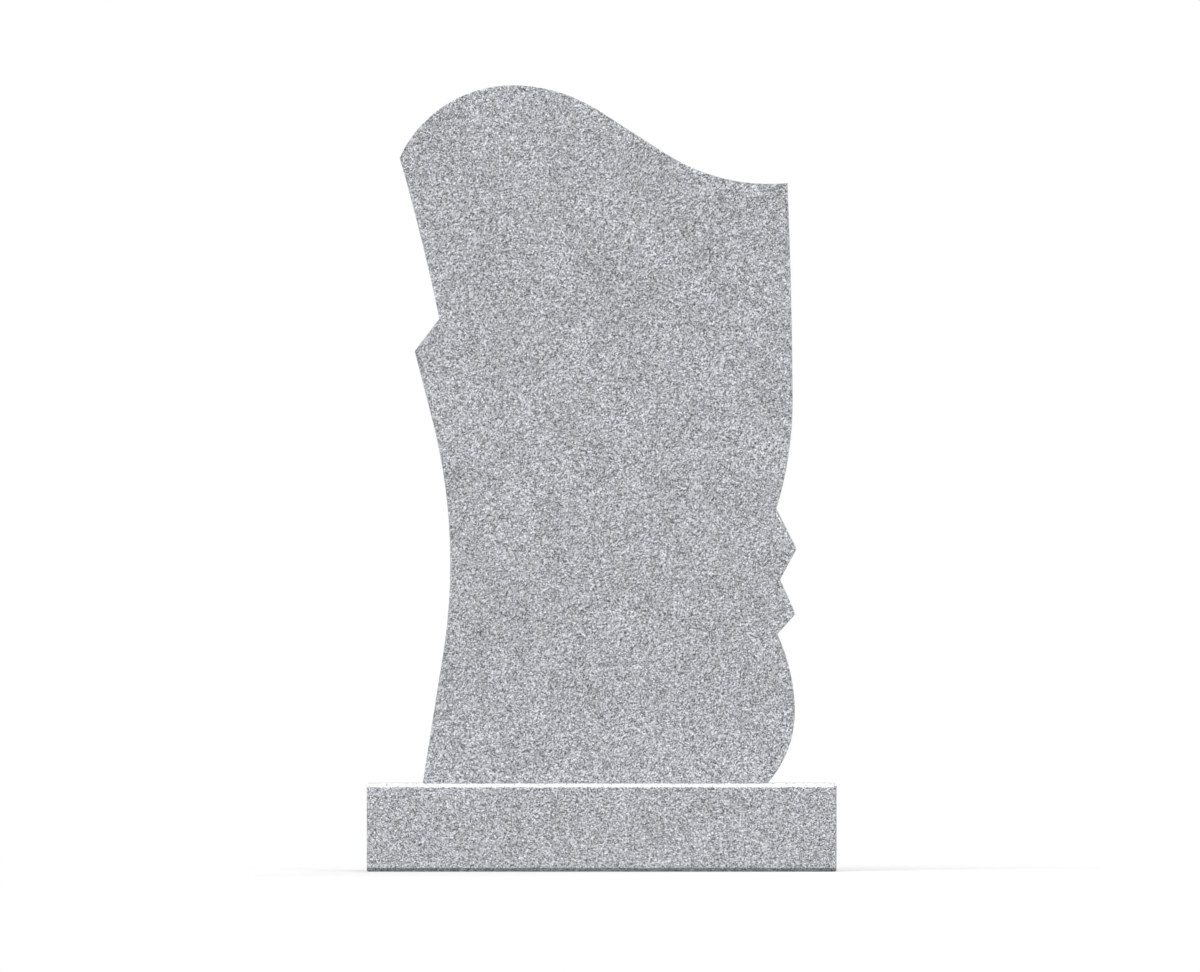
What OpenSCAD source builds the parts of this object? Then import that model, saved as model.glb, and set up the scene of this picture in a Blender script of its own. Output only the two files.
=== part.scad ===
// Upright headstone: a free-form stele of polished grey granite on a plain oblong base.
// Seen from the front, +X is to the right and +Z is up; the face looks towards -Y.
// The origin is on the ground, in the middle of the base's underside.

/* [Base] */
// width of the base, left to right
base_w = 800; // [720:1:1000]
// depth of the base, front to back
base_d = 250; // [200:1:320]
// height of the base
base_h = 150; // [100:1:220]
// bevel along the base's four long edges, each way
base_bevel = 6.5; // [3:0.5:12]
// bevel round the base's two ends, each way
base_arris = 2; // [1:0.5:4]

/* [Stele] */
// greatest width of the stele
stele_w = 677; // [560:1:820]
// height of the stele above the base
stele_h = 1190; // [980:1:1440]
// thickness of the stele
stele_t = 120; // [80:1:180]
// how far the stele stands to the left of the base's middle
stele_left = 6; // [0:1:20]

/* [Crown] */
// place of the highest point across the width, from the left
apex_across = 0.284; // [0.25:0.001:0.33]
// drop from the highest point to the left shoulder
shoulder_drop = 123.5; // [100:0.5:145]
// radius of the crown right of the highest point
crown_radius = 278; // [225:1:335]
// slope at which the crown falls away to the right, in degrees
fall_angle = 32.2; // [27:0.1:36]
// length of the straight part of that slope
fall_run = 132.5; // [100:0.5:160]
// drop from the highest point to the right corner
corner_drop = 166.5; // [145:0.5:190]
// place of the right corner across the width, from the left
corner_across = 0.977; // [0.95:0.001:0.985]

/* [Notch in the left side] */
// height of the notch's outer tip, as a share of the stele's height
notch_level = 0.619; // [0.58:0.001:0.66]
// place of the outer tip across the width, from the left
notch_across = 0.038; // [0.03:0.001:0.06]
// how far the notch steps in from its outer tip
notch_in = 42; // [30:0.5:55]
// how far it rises from its outer tip to its inner corner
notch_rise = 55.5; // [40:0.5:70]
// hollow of the side above the notch, as a share of its length
upper_hollow = 0.01; // [0.005:0.001:0.03]

/* [Waist] */
// place of the foot's left corner across the width, from the left
left_foot = 0.058; // [0.04:0.001:0.08]
// lean of the straight edge that rises from that corner to the right, in degrees
foot_lean = 9; // [7.5:0.1:11]
// lean of the straight edge that runs up to the notch's tip to the left, in degrees
tip_lean = 14.4; // [12.5:0.1:17]
// radius of the sweep between these two edges
waist_radius = 990; // [800:10:1200]

/* [Right side] */
// place of the upper part's widest point across the width, from the left
side_across = 0.99; // [0.987:0.001:0.995]
// height of that point, as a share of the stele's height
side_level = 0.546; // [0.5:0.001:0.6]
// height of the upper tooth's tip, as a share of the stele's height
upper_tip = 0.336; // [0.325:0.001:0.345]
// how far the side tucks in above the upper tooth
upper_tuck = 34.5; // [25:0.5:42]
// height from the upper tooth's tip to that tuck
upper_rise = 68.5; // [55:0.5:82]
// how far the gully between the teeth cuts in
gully_in = 28; // [20:0.5:36]
// place of the gully between the two tips, from the upper one
gully_place = 0.47; // [0.4:0.01:0.55]
// height of the lower tooth's tip, as a share of the stele's height
lower_tip = 0.2425; // [0.235:0.0005:0.25]
// how far the lower tooth's tip stands back from the upper one's
lower_back = 2; // [0:0.5:8]
// how far the side tucks in below the lower tooth
lower_tuck = 31; // [22:0.5:38]
// drop from the lower tooth's tip to that tuck
lower_fall = 34.5; // [25:0.5:45]
// how far the bulge near the foot stands back from the upper tooth's tip
bulge_back = 3; // [0:0.5:8]
// height of the bulge's widest point, as a share of the stele's height
bulge_level = 0.102; // [0.09:0.001:0.12]
// place of the foot's right corner across the width, from the left
right_foot = 0.9265; // [0.91:0.0005:0.95]

/* [Hidden] */
granite = [0.69, 0.7, 0.715];
// how far a cutter runs on past the stone's faces
past = 5;
// how far a cutter reaches away from the stone
reach = 260;
// how far a cutter reaches where it takes off everything beyond a corner
far = 1.5 * stele_h;
// how far an arc's cutter runs on past a corner
over = 100;
// edges that run into each other do so at a very slight corner, so that no cut grazes another
crease = 0.3;
// how far each such cut runs on past that corner
lap = 3;
half_t = stele_t / 2;

// a point of the outline, from its place across the width and its height above the base
function at(across, height) = [(across - 0.5) * stele_w - stele_left, height];
// a unit vector at an angle from +X, turning towards +Z
function along(angle) = [cos(angle), sin(angle)];
function angle_of(v) = atan2(v[1], v[0]);

// An arc is placed by a point p on it, the angle "out" from its middle to p, and its radius r.
function middle(p, out, r) = p - r * along(out);
// radius at which the arc also passes through q
function radius_to(p, out, q) = (q - p) * (q - p) / (2 * (p - q) * along(out));
// angle from the arc's middle to a point q
function angle_to(p, out, r, q) = angle_of(q - middle(p, out, r));
// radius of an arc from its chord and its bow
function bow_radius(chord, bow) = (chord * chord / 4 + bow * bow) / (2 * bow);
// angle that a length takes up on an arc
function turn(length, r) = length / r * 180 / PI;
// number of sides that keeps a circle within 0.05 mm of true
function sides(r) = ceil(180 / acos(1 - 0.05 / r));

// corners and turning points, clockwise from the left shoulder
shoulder = at(0, stele_h - shoulder_drop);
apex = at(apex_across, stele_h);
fall_start = middle(apex, 90 - crease, crown_radius) + crown_radius * along(90 - fall_angle);
fall_way = along(-fall_angle - 2 * crease);
fall_end = fall_start + fall_run * fall_way;
corner = at(corner_across, stele_h - corner_drop);
side = at(side_across, side_level * stele_h);
tip_high = at(1, upper_tip * stele_h);
tuck_high = tip_high + [-upper_tuck, upper_rise];
tip_low = [tip_high[0] - lower_back, lower_tip * stele_h];
gully = [tip_high[0] - gully_in, tip_high[1] + gully_place * (tip_low[1] - tip_high[1])];
tuck_low = tip_low - [lower_tuck, lower_fall];
bulge = [tip_high[0] - bulge_back, bulge_level * stele_h];
foot_right = at(right_foot, 0);
foot_left = at(left_foot, 0);
notch_tip = at(notch_across, notch_level * stele_h);
notch_inner = notch_tip + [notch_in, notch_rise];

// the waist's two straight edges, the point where they would meet, and where the sweep leaves them
foot_way = along(90 - foot_lean);
tip_way = along(90 + tip_lean);
waist_turn = foot_lean + tip_lean;
waist_point = foot_left + cross(notch_tip - foot_left, tip_way) / sin(waist_turn) * foot_way;
waist_back = waist_radius * sin(waist_turn / 2 + 2 * crease) / cos(waist_turn / 2);
waist_low = waist_point - waist_back * foot_way;
waist_high = waist_point + waist_back * tip_way;

// which piece to draw, or "all"

// oblong with its corners cut off
module bevelled_oblong(w, d, cut) {
    x = w / 2;
    y = d / 2;
    polygon([
        [x - cut, -y], [x, cut - y], [x, y - cut], [x - cut, y],
        [cut - x, y], [-x, y - cut], [-x, cut - y], [cut - x, -y]
    ]);
}

// plain block: a broad bevel along the long edges, a fine one round the two ends
module base() {
    long = base_w + 2 * past;
    color(granite)
        translate([0, 0, base_h / 2])
            intersection() {
                rotate([90, 0, 90])
                    translate([0, 0, -long / 2])
                        linear_extrude(long)
                            bevelled_oblong(base_d, base_h, base_bevel);
                rotate([90, 0, 0])
                    translate([0, 0, -long / 2])
                        linear_extrude(long)
                            bevelled_oblong(base_w, base_h, base_arris);
                translate([0, 0, -long / 2])
                    linear_extrude(long)
                        bevelled_oblong(base_w, base_d, base_arris);
            }
}

// What a saw takes off beside an edge, seen along the edge: the offset from the edge runs along X,
// with the stone on the side that "into" points to, and the thickness runs along Y.
module cut_section(edge, into, width) {
    y = half_t + past;
    polygon([[edge - into * width, y], [edge, y], [edge, -y], [edge - into * width, -y]]);
}

// cuts along an arc; the stone lies inside the arc where into is -1 and outside it where into is 1
module arc_cut(p, out, r, from, to, into) {
    width = into > 0 ? min(reach, r) : reach;
    translate([p[0], 0, p[1]])
        rotate([90, 0, 0])
            rotate([0, 0, out])
                translate([-r, 0, 0])
                    rotate([0, 0, from - out])
                        rotate_extrude(angle = to - from, $fn = sides(r))
                            cut_section(r, into, width);
}

// cuts along a straight edge from a to b, with the stone on the right of that way
module line_cut(a, b, extra = far, width = far) {
    way = b - a;
    translate([a[0], 0, a[1]])
        rotate([0, atan2(way[0], way[1]), 0])
            translate([0, 0, -extra])
                linear_extrude(norm(way) + 2 * extra)
                    cut_section(0, 1, width);
}

// round to the left of the highest point, from it down past the left shoulder
module crown_left_cut() {
    out = 90 + crease;
    r = radius_to(apex, out, shoulder);
    arc_cut(apex, out, r, out - turn(lap, r), angle_to(apex, out, r, shoulder) + turn(over, r), -1);
}

// round to the right of the highest point, down to where the edge runs straight
module crown_right_cut() {
    out = 90 - crease;
    past_join = turn(lap, crown_radius);
    arc_cut(apex, out, crown_radius, 90 - fall_angle - past_join, out + past_join, -1);
    line_cut(fall_start, fall_end, lap, reach);
}

// hollow scoop from the foot of that straight edge to the right corner: half a turn, so that the cutter
// also clears the blank's own corner above it
module scoop_cut() {
    out = -90 - fall_angle - 4 * crease;
    r = radius_to(fall_end, out, corner);
    arc_cut(fall_end, out, r, out - turn(lap, r), out + 180, 1);
}

// hollow side above the notch, down to the notch's own sloping edge
module notch_cut() {
    way = shoulder - notch_inner;
    r = bow_radius(norm(way), upper_hollow * norm(way));
    out = angle_of(way) - 90 - asin(norm(way) / (2 * r));
    intersection() {
        arc_cut(notch_inner, out, r, out - turn(over, r), out + turn(norm(way) + over, r), 1);
        line_cut(notch_tip, notch_inner);
    }
}

// long waist: straight at the foot and below the notch, with one sweep between
module waist_cut() {
    past_join = turn(lap, waist_radius);
    from = -foot_lean - 2 * crease;
    to = tip_lean + 2 * crease;
    line_cut(foot_left - reach * foot_way, waist_low, lap, reach);
    arc_cut(waist_low, from, waist_radius, from - past_join, to + past_join, 1);
    line_cut(waist_high, notch_tip + reach * tip_way, lap, reach);
}

// two arcs that meet at a side's widest point: one runs up to "high", the other down to "low"
module widest_cut(point, high, low) {
    high_r = radius_to(point, crease, high);
    low_r = radius_to(point, -crease, low);
    high_end = angle_to(point, crease, high_r, high) + turn(over, high_r);
    low_end = angle_to(point, -crease, low_r, low) - turn(over, low_r);
    arc_cut(point, crease, high_r, crease - turn(lap, high_r), high_end, -1);
    arc_cut(point, -crease, low_r, low_end, turn(lap, low_r) - crease, -1);
}

// upper side: nearly upright, then tucked in down to the upper tooth
module side_cut() {
    intersection() {
        union() widest_cut(side, corner, tuck_high);
        line_cut(tuck_high, tip_high);
    }
}

// bite between the two teeth
module gully_cut() {
    intersection() {
        line_cut(tip_high, gully);
        line_cut(gully, tip_low);
    }
}

// round bulge between the lower tooth and the foot
module bulge_cut() {
    intersection() {
        union() widest_cut(bulge, tuck_low, foot_right);
        line_cut(tip_low, tuck_low);
    }
}

// slab sawn to the outline, standing on the base without anything between them that shows
module stele() {
    blank_w = stele_w + 2 * past;
    color(granite)
        translate([0, 0, base_h])
            difference() {
                translate([-blank_w / 2 - stele_left, -half_t, 0])
                    cube([blank_w, stele_t, stele_h + past]);
                crown_left_cut();
                crown_right_cut();
                scoop_cut();
                side_cut();
                gully_cut();
                bulge_cut();
                waist_cut();
                notch_cut();
            }
}

base();
stele();
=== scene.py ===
import math

import bpy
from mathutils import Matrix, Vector


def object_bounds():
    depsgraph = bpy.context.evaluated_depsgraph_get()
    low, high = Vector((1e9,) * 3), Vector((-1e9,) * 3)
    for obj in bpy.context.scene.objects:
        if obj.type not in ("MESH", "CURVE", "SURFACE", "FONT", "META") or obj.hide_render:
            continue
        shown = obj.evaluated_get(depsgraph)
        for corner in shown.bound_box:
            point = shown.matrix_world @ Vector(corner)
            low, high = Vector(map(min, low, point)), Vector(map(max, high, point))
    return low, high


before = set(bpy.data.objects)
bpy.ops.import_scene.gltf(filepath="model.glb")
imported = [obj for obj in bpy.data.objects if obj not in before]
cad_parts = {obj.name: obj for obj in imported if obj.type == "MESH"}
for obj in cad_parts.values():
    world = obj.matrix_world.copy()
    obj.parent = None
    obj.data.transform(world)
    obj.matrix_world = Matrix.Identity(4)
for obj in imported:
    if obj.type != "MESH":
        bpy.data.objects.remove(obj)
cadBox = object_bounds()
scene = bpy.context.scene
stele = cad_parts["stele"]
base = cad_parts["base"]
print("headstone: frame loaded, nodes", sorted(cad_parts))


# small helpers for the node trees

def addNode(tree, kind, name, **settings):
    node = tree.nodes.new(kind)
    node.name = node.label = name
    for key, value in settings.items():
        setattr(node, key, value)
    return node


def feed(tree, socket, value):
    # a socket takes either a plain value or another node's output
    if isinstance(value, bpy.types.NodeSocket):
        tree.links.new(value, socket)
    else:
        socket.default_value = value


def calc(tree, name, operation, *values):
    node = addNode(tree, "ShaderNodeMath", name, operation=operation)
    for socket, value in zip(node.inputs, values):
        feed(tree, socket, value)
    return node.outputs[0]


def calcVector(tree, name, operation, a, b):
    node = addNode(tree, "ShaderNodeVectorMath", name, operation=operation)
    feed(tree, node.inputs[0], a)
    feed(tree, node.inputs["Scale" if operation == "SCALE" else 1], b)
    return node.outputs[0]


def remap(tree, name, value, low, high, toLow=0.0, toHigh=1.0):
    node = addNode(tree, "ShaderNodeMapRange", name, clamp=True)
    for socket, number in zip(node.inputs, (value, low, high, toLow, toHigh)):
        feed(tree, socket, number)
    return node.outputs[0]


def mixColor(tree, name, factor, a, b, blend="MIX"):
    node = addNode(tree, "ShaderNodeMix", name, data_type="RGBA", blend_type=blend)
    for socket, value in zip((node.inputs["Factor"], node.inputs[6], node.inputs[7]), (factor, a, b)):
        feed(tree, socket, value)
    return node.outputs[2]


def noise(tree, name, position, scale, detail=3.0):
    node = addNode(tree, "ShaderNodeTexNoise", name)
    feed(tree, node.inputs["Vector"], position)
    feed(tree, node.inputs["Scale"], scale)
    feed(tree, node.inputs["Detail"], detail)
    return node.outputs


def newGroup(name, inputs, outputs):
    tree = bpy.data.node_groups.new(name, "ShaderNodeTree")
    for direction, sockets in (("INPUT", inputs), ("OUTPUT", outputs)):
        for label, kind, default in sockets:
            socket = tree.interface.new_socket(label, in_out=direction, socket_type="NodeSocket" + kind)
            if default is not None:
                socket.default_value = default
    return tree, addNode(tree, "NodeGroupInput", "in"), addNode(tree, "NodeGroupOutput", "out")


# granite: interlocking crystals, small ones between them, black mica flakes, a few large feldspars

granite = {
    "crystal": 0.0030,          # size of the common crystals, metres
    "fines": 0.0015,            # size of the small ones between them
    "finesFrom": 0.44,          # how far from a crystal's middle the small ones start, in crystals
    "finesBlend": 0.10,         # how much farther out they have taken over
    "warps": {"common": 1.7, "small": 1.2, "large": 0.9, "mica": 1.5},   # how much edges wander
    "raggedness": (1.7, 4.0),   # waves to a crystal along those edges, and how finely they break up
    "mica": 0.0021,             # size of the black flakes
    "micaShare": 0.17,          # how many of the crystals of that size are black
    "micaEdge": (0.56, 0.50),   # where a flake ends and where it is fully black, in flakes
    "micaClusters": 0.0075,     # how far apart they gather
    "micaRange": (0.35, 0.65),  # range of the clusters' noise over which the share below rises
    "micaSpread": (0.4, 1.6),   # share between clusters and in them, as parts of the whole
    "micaTone": 0.03,           # their grey
    "large": 0.011,             # size of the large feldspars
    "largeShare": 0.02,         # how many of the crystals of that size there are
    "largeEdge": (0.42, 0.26),  # where one ends and where it is whole, in crystals
    "largeTone": 0.66,          # their grey
    "driftSize": 0.085,         # how far apart paler and darker patches lie
    "cloud": 0.20,              # mottling inside a crystal
    "noiseSwing": 4.0,          # brings the swing of a noise, about a quarter either way, to one
    "hazeSize": 0.060,          # how far apart patches of fainter polish lie
    "hazeRange": (0.35, 0.70),  # range of the noise over which the haze rises
    "haze": 0.35,               # the most that it adds to the dullness
    "feldsparDull": 0.3,        # how much duller feldspar takes its polish than quartz
    "pitSize": 0.0011,          # how far apart pits may lie
    "pitRange": (0.70, 0.78),   # range of the noise over which a pit deepens
    "crystalRelief": 0.3,       # how much crystals differ in height, against a pit's depth
    "pluck": 0.7,               # how deep mica is plucked out, against a pit's depth
    "reliefDepth": 0.0003,      # a pit's depth before a finish lessens it, metres
    "dustTone": 0.62,           # grey of the dust that grinding leaves
    "tint": (0.975, 1.0, 1.057),   # turns every grey slightly blue
    "tones": {                  # each mineral's place in a crystal's random pick, and its grey
        "smoky quartz": (0.00, 0.12),
        "quartz": (0.22, 0.24),
        "clear quartz": (0.44, 0.38),
        "grey feldspar": (0.62, 0.54),
        "feldspar": (0.78, 0.70),
        "white feldspar": (0.92, 0.90),
    },
}


def crystalGroup():
    tree, given, out = newGroup(
        "granite crystals",
        [("Position", "Vector", None), ("Crystal Size", "Float", granite["crystal"]),
         ("Warp", "Float", granite["warps"]["common"])],
        [("Pick", "Float", None), ("Shade", "Float", None), ("Edge", "Float", None)],
    )
    perMetre = calc(tree, "crystals per metre", "DIVIDE", 1.0, given.outputs["Crystal Size"])
    scaled = calcVector(tree, "in crystals", "SCALE", given.outputs["Position"], perMetre)
    wobble = noise(tree, "grown edges", scaled, *granite["raggedness"])["Color"]
    wobble = calcVector(tree, "centred", "SUBTRACT", wobble, (0.5, 0.5, 0.5))
    wobble = calcVector(tree, "warp", "SCALE", wobble, given.outputs["Warp"])
    cells = addNode(tree, "ShaderNodeTexVoronoi", "crystals", feature="F1")
    feed(tree, cells.inputs["Vector"], calcVector(tree, "warped", "ADD", scaled, wobble))
    feed(tree, cells.inputs["Scale"], 1.0)
    own = addNode(tree, "ShaderNodeSeparateColor", "each crystal's own numbers")
    feed(tree, own.inputs[0], cells.outputs["Color"])
    feed(tree, out.inputs["Pick"], own.outputs[0])
    feed(tree, out.inputs["Shade"], own.outputs[1])
    feed(tree, out.inputs["Edge"], cells.outputs["Distance"])
    return tree


def tinted(grey):
    return (*(grey * share for share in granite["tint"]), 1.0)


def graniteGroup(crystals):
    tree, given, out = newGroup(
        "granite",
        [("Position", "Vector", None), ("Crystal Size", "Float", granite["crystal"]),
         ("Fines Size", "Float", granite["fines"]), ("Fines From", "Float", granite["finesFrom"]),
         ("Drift", "Float", 0.0), ("Tone", "Float", 1.0)],
        [("Color", "Color", None), ("Dullness", "Float", None), ("Height", "Float", None)],
    )
    position = given.outputs["Position"]

    def layer(name, size, kind):
        node = addNode(tree, "ShaderNodeGroup", name, node_tree=crystals)
        feed(tree, node.inputs["Position"], position)
        feed(tree, node.inputs["Crystal Size"], size)
        feed(tree, node.inputs["Warp"], granite["warps"][kind])
        return node.outputs

    def mineral(name, pick):
        ramp = addNode(tree, "ShaderNodeValToRGB", name)
        ramp.color_ramp.interpolation = "LINEAR"
        points = ramp.color_ramp.elements
        while len(points) < len(granite["tones"]):
            points.new(1.0)
        for point, (start, grey) in zip(points, granite["tones"].values()):
            point.position = start
            point.color = tinted(grey)
        feed(tree, ramp.inputs[0], pick)
        return ramp.outputs[0]

    common = layer("common crystals", given.outputs["Crystal Size"], "common")
    small = layer("small crystals", given.outputs["Fines Size"], "small")
    finesFrom = given.outputs["Fines From"]
    finesWhole = calc(tree, "a soft edge", "ADD", finesFrom, granite["finesBlend"])
    between = remap(tree, "between crystals", common["Edge"], finesFrom, finesWhole)
    color = mixColor(tree, "crystals", between,
                     mineral("common minerals", common["Pick"]), mineral("small minerals", small["Pick"]))

    big = layer("large feldspars", granite["large"], "large")
    chosen = calc(tree, "few of them", "GREATER_THAN", big["Pick"], 1.0 - granite["largeShare"])
    body = remap(tree, "their middles", big["Edge"], *granite["largeEdge"])
    color = mixColor(tree, "with large feldspars", calc(tree, "large", "MULTIPLY", chosen, body),
                     color, tinted(granite["largeTone"]))

    clouds = noise(tree, "clouded crystals", position, 1.0 / granite["fines"])[0]
    clouds = calc(tree, "clouds about nil", "SUBTRACT", clouds, 0.5)
    patches = noise(tree, "paler and darker patches", position, 1.0 / granite["driftSize"])[0]
    patches = calc(tree, "patches about nil", "SUBTRACT", patches, 0.5)
    swing = calc(tree, "drift of tone", "MULTIPLY", patches, given.outputs["Drift"])
    gain = calc(tree, "tone and drift", "MULTIPLY_ADD", swing, granite["noiseSwing"], given.outputs["Tone"])
    gain = calc(tree, "and clouds", "MULTIPLY_ADD", clouds, granite["cloud"] * granite["noiseSwing"], gain)
    color = mixColor(tree, "toned", 1.0, color, gain, "MULTIPLY")

    flakes = layer("mica flakes", granite["mica"], "mica")
    clusters = noise(tree, "where they gather", position, 1.0 / granite["micaClusters"], detail=1.0)[0]
    least, most = (part * granite["micaShare"] for part in granite["micaSpread"])
    share = remap(tree, "share of flakes", clusters, *granite["micaRange"], least, most)
    black = calc(tree, "black ones", "LESS_THAN", flakes["Pick"], share)
    flake = remap(tree, "a flake's edge", flakes["Edge"], *granite["micaEdge"])
    dark = calc(tree, "mica", "MULTIPLY", black, flake)
    color = mixColor(tree, "with mica", dark, color, tinted(granite["micaTone"]))

    # mica takes little polish, feldspar a bit less than quartz, and the pad leaves a faint haze
    haze = noise(tree, "haze of the polish", position, 1.0 / granite["hazeSize"])[0]
    haze = remap(tree, "haze", haze, *granite["hazeRange"], 0.0, granite["haze"])
    dull = calc(tree, "feldspar and haze", "MULTIPLY_ADD", common["Pick"], granite["feldsparDull"], haze)
    pits = noise(tree, "pitted", position, 1.0 / granite["pitSize"], detail=1.0)[0]
    pits = remap(tree, "pits", pits, *granite["pitRange"])
    plucked = calc(tree, "depth", "MULTIPLY", dark, granite["pluck"])
    relief = calc(tree, "crystals' levels", "MULTIPLY", common["Shade"], granite["crystalRelief"])
    relief = calc(tree, "plucked mica", "SUBTRACT", relief, plucked)
    feed(tree, out.inputs["Color"], color)
    feed(tree, out.inputs["Dullness"], calc(tree, "dullness", "MAXIMUM", dull, dark))
    feed(tree, out.inputs["Height"], calc(tree, "relief", "SUBTRACT", relief, pits))
    return tree


stoneGroup = graniteGroup(crystalGroup())
print("headstone: granite group made")


def stoneMaterial(name, look, finish):
    material = bpy.data.materials.new(name)
    material.use_nodes = True
    tree = material.node_tree
    tree.nodes.clear()
    place = addNode(tree, "ShaderNodeTexCoord", "place")
    block = addNode(tree, "ShaderNodeMapping", "this block's own part of the quarry")
    feed(tree, block.inputs["Vector"], place.outputs["Object"])
    feed(tree, block.inputs["Location"], look["quarryPlace"])
    feed(tree, block.inputs["Rotation"], tuple(math.radians(a) for a in look["quarryTurn"]))
    stone = addNode(tree, "ShaderNodeGroup", "granite", node_tree=stoneGroup)
    feed(tree, stone.inputs["Position"], block.outputs[0])
    feed(tree, stone.inputs["Crystal Size"], granite["crystal"] * look["coarseness"])
    feed(tree, stone.inputs["Fines Size"], granite["fines"] * look["coarseness"])
    feed(tree, stone.inputs["Tone"], look["tone"])
    feed(tree, stone.inputs["Drift"], look["drift"])
    surface = addNode(tree, "ShaderNodeBsdfPrincipled", "stone")
    dust = tinted(granite["dustTone"])
    color = mixColor(tree, "dust left by grinding", finish["dust"], stone.outputs["Color"], dust)
    feed(tree, surface.inputs["Base Color"], color)
    feed(tree, surface.inputs["Roughness"],
         remap(tree, "gloss", stone.outputs["Dullness"], 0.0, 1.0, *finish["roughness"]))
    feed(tree, surface.inputs["IOR"], look["ior"])
    bump = addNode(tree, "ShaderNodeBump", "crystal relief")
    feed(tree, bump.inputs["Strength"], finish["relief"])
    feed(tree, bump.inputs["Distance"], granite["reliefDepth"])
    feed(tree, bump.inputs["Height"], stone.outputs["Height"])
    feed(tree, surface.inputs["Normal"], bump.outputs[0])
    end = addNode(tree, "ShaderNodeOutputMaterial", "out")
    feed(tree, end.inputs[0], surface.outputs[0])
    return material


# the two stones, each with its polished faces and its ground arrises

# roughness runs from the least to the most dull mineral; relief and dust are shares of the full ones
polished = {"roughness": (0.07, 0.20), "relief": 0.06, "dust": 0.0}
ground = {"roughness": (0.38, 0.55), "relief": 0.5, "dust": 0.35}
baseLook = {
    "quarryPlace": (1.37, 0.42, 2.11),   # where in the quarry the block was cut, metres
    "quarryTurn": (0, 0, 0),             # and how it lay there, degrees
    "tone": 0.99,               # paler above 1
    "coarseness": 0.93,         # its crystals' size against the common one
    "drift": 0.055,             # how uneven the block is
    "ior": 1.55,
    "arris": 0.0005,            # how far its ground edges reach in, metres
}
steleLook = {
    "quarryPlace": (0.2, 3.3, 0.7),
    "quarryTurn": (12, 31, 7),
    "tone": 0.953,
    "coarseness": 1.0,
    "drift": 0.09,
    "ior": 1.55,
    "arris": 0.0010,
}


grinding = {
    "join": 0.00002,            # corners closer than this are one, metres
    "flat": 0.05,               # faces that turn by less than this are one, degrees
    "sharp": 25,                # edges that turn by more than this are ground, degrees
    "segments": 2,
}


def softenEdges(node, width):
    weld = node.modifiers.new("join the facets", "WELD")
    weld.merge_threshold = grinding["join"]
    flats = node.modifiers.new("one face per flat", "DECIMATE")
    flats.decimate_type = "DISSOLVE"
    flats.angle_limit = math.radians(grinding["flat"])
    edge = node.modifiers.new("arris", "BEVEL")
    edge.width = width
    edge.segments = grinding["segments"]
    edge.limit_method = "ANGLE"
    edge.angle_limit = math.radians(grinding["sharp"])
    edge.material = 1     # the ground edge's material
    shade = node.modifiers.new("shading", "WEIGHTED_NORMAL")
    shade.keep_sharp = True


def dress(node, name, look):
    node.data.materials.clear()
    node.data.materials.append(stoneMaterial(name + ", polished", look, polished))
    node.data.materials.append(stoneMaterial(name + ", ground edge", look, ground))
    softenEdges(node, look["arris"])


dress(base, "grey granite, base", baseLook)
dress(stele, "grey granite, stele", steleLook)
print("headstone: stones dressed")


# camera

shot = {
    "distance": 64.0,            # a long lens from far off, so that nothing converges
    "width": 2.0473,             # metres across the picture
    "aimX": -0.0028,             # where the middle of the picture lies, metres
    "aimZ": 0.6566,
    "sensor": 36.0,              # millimetres
}


def buildCamera():
    lens = bpy.data.cameras.new("camera")
    lens.sensor_width = shot["sensor"]
    lens.lens = lens.sensor_width * shot["distance"] / shot["width"]
    lens.clip_end = shot["distance"] * 2
    camera = bpy.data.objects.new("camera", lens)
    scene.collection.objects.link(camera)
    camera.location = (shot["aimX"], -shot["distance"], shot["aimZ"])
    camera.rotation_euler = (math.radians(90), 0, 0)
    scene.camera = camera


# floor, daylight and lamps

studio = {
    "floorSize": 12.0,
    "floorGap": 0.0002,          # how far it lies below the stone, metres
    "floorTone": 0.17,           # what the floor gives back to the stone
    "floorSeen": 0.80,           # how pale its lit surface is to the camera
    "shadowShare": 0.75,         # how much of what the camera sees of the floor is that lit surface
    "shadowReach": (0.9, 2.2),   # from where to where that fades into plain white, metres
    "daylight": 0.4,             # even light from all round; 1 lights white paper to white
}

# turn is round the stone from its front, towards +X; a level of 1 lights white paper to white
suns = {
    "key": {"turn": -42, "height": 34, "spread": 60, "level": 0.69},
    "fill": {"turn": 42, "height": 34, "spread": 60, "level": 0.42},
    "back": {"turn": 150, "height": 24, "spread": 60, "level": 0.60},
}

# a bright panel high over the base's front edge, which the base's top bevel mirrors
strip = {
    "height": 8.0,
    "size": (1.5, 1.15),
    "ahead": 0.14,               # how far its middle lies in front of that edge
    "level": 12.0,               # times as bright as lit white paper
}


def seenDirectly(tree):
    # 1 for what the camera sees, also by reflection or through glass
    ray = addNode(tree, "ShaderNodeLightPath", "ray").outputs
    seen = calc(tree, "camera or gloss", "MAXIMUM", ray["Is Camera Ray"], ray["Is Glossy Ray"])
    return calc(tree, "or through glass", "MAXIMUM", seen, ray["Is Transmission Ray"])


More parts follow.
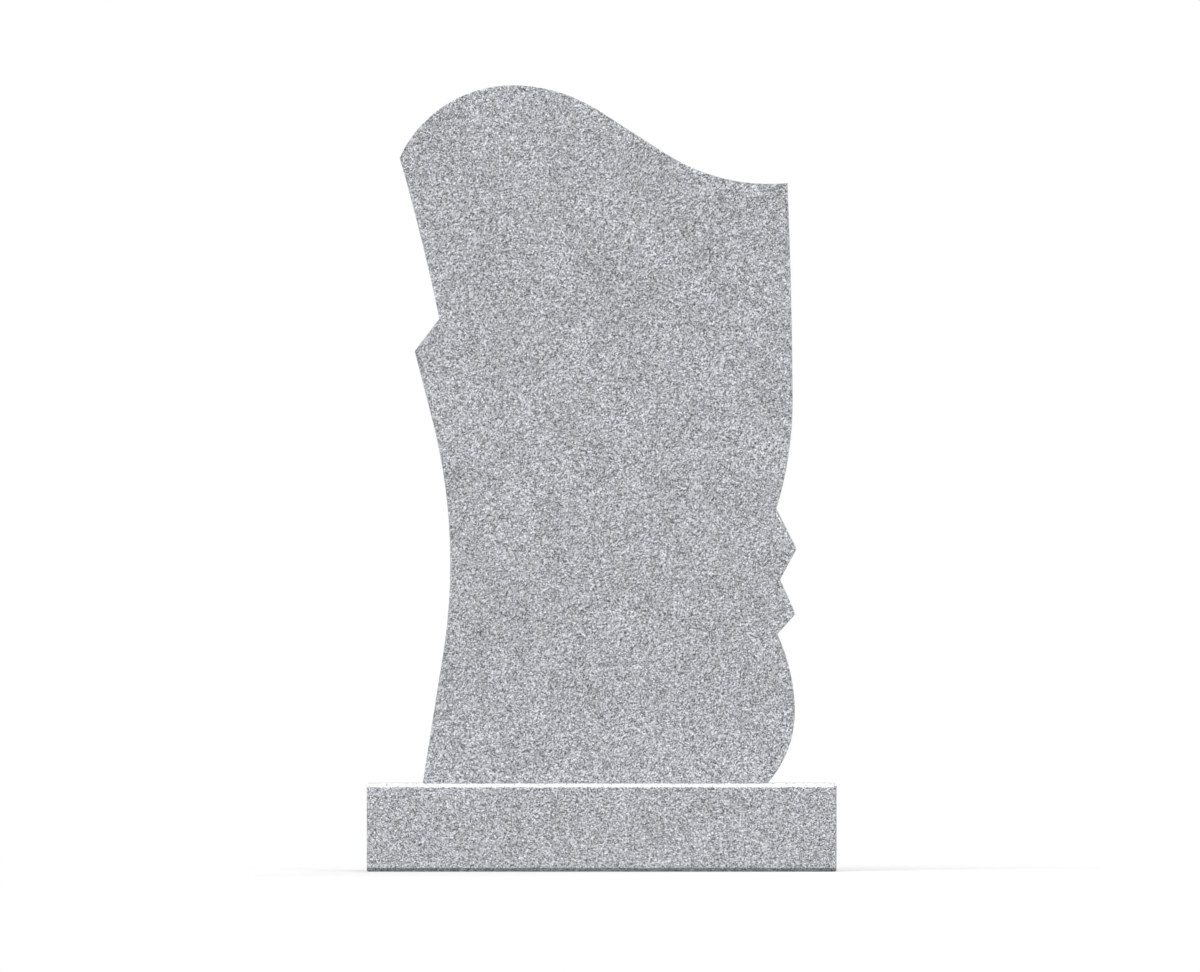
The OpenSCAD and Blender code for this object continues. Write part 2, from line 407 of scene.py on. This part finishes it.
def floorMaterial():
    material = bpy.data.materials.new("pale floor")
    material.use_nodes = True
    tree = material.node_tree
    tree.nodes.clear()
    seen = seenDirectly(tree)
    lit = addNode(tree, "ShaderNodeBsdfDiffuse", "lit floor")
    tones = ((studio[key],) * 3 + (1.0,) for key in ("floorTone", "floorSeen"))
    feed(tree, lit.inputs["Color"], mixColor(tree, "paler to the camera", seen, *tones))
    glow = addNode(tree, "ShaderNodeEmission", "white paper")
    place = addNode(tree, "ShaderNodeTexCoord", "place")
    away = addNode(tree, "ShaderNodeVectorMath", "from the stone", operation="LENGTH")
    feed(tree, away.inputs[0], place.outputs["Object"])
    near, far = studio["shadowReach"]
    paper = remap(tree, "paper", away.outputs["Value"], near, far, 1.0 - studio["shadowShare"], 1.0)
    mix = addNode(tree, "ShaderNodeMixShader", "mostly white to the camera")
    feed(tree, mix.inputs[0], calc(tree, "share", "MULTIPLY", seen, paper))
    feed(tree, mix.inputs[1], lit.outputs[0])
    feed(tree, mix.inputs[2], glow.outputs[0])
    end = addNode(tree, "ShaderNodeOutputMaterial", "out")
    feed(tree, end.inputs[0], mix.outputs[0])
    return material


def buildFloor():
    half = studio["floorSize"] / 2
    corners = [(-half, -half, 0), (half, -half, 0), (half, half, 0), (-half, half, 0)]
    mesh = bpy.data.meshes.new("floor")
    mesh.from_pydata(corners, [], [(0, 1, 2, 3)])
    mesh.materials.append(floorMaterial())
    floor = bpy.data.objects.new("floor", mesh)
    scene.collection.objects.link(floor)
    floor.location.z = cadBox[0].z - studio["floorGap"]


def buildDaylight():
    world = bpy.data.worlds.new("studio")
    world.use_nodes = True
    tree = world.node_tree
    tree.nodes.clear()
    sky = addNode(tree, "ShaderNodeBackground", "white")
    level = remap(tree, "daylight, or white", seenDirectly(tree), 0.0, 1.0, studio["daylight"], 1.0)
    feed(tree, sky.inputs["Color"], (1.0, 1.0, 1.0, 1.0))
    feed(tree, sky.inputs["Strength"], level)
    end = addNode(tree, "ShaderNodeOutputWorld", "out")
    feed(tree, end.inputs[0], sky.outputs[0])
    scene.world = world


def buildSun(name, sun):
    light = bpy.data.lights.new(name, "SUN")
    light.angle = math.radians(sun["spread"])
    light.energy = sun["level"] * math.pi
    holder = bpy.data.objects.new(name, light)
    holder.visible_glossy = False     # the polish mirrors a plain white room, with no lamps in it
    scene.collection.objects.link(holder)
    turn, height = math.radians(sun["turn"]), math.radians(sun["height"])
    across = math.cos(height)
    towards = Vector((math.sin(turn) * across, -math.cos(turn) * across, math.sin(height)))
    holder.rotation_euler = towards.to_track_quat("Z", "Y").to_euler()


def buildStrip():
    light = bpy.data.lights.new("strip", "AREA")
    light.shape = "RECTANGLE"
    light.size, light.size_y = strip["size"]
    light.energy = strip["level"] * math.pi * light.size * light.size_y
    holder = bpy.data.objects.new("strip", light)
    scene.collection.objects.link(holder)
    holder.location = (0, cadBox[0].y - strip["ahead"], strip["height"])


buildCamera()
buildFloor()
buildDaylight()
for name, sun in suns.items():
    buildSun(name, sun)
buildStrip()
scene.view_settings.view_transform = "Standard"
print("headstone: camera, floor and light set")
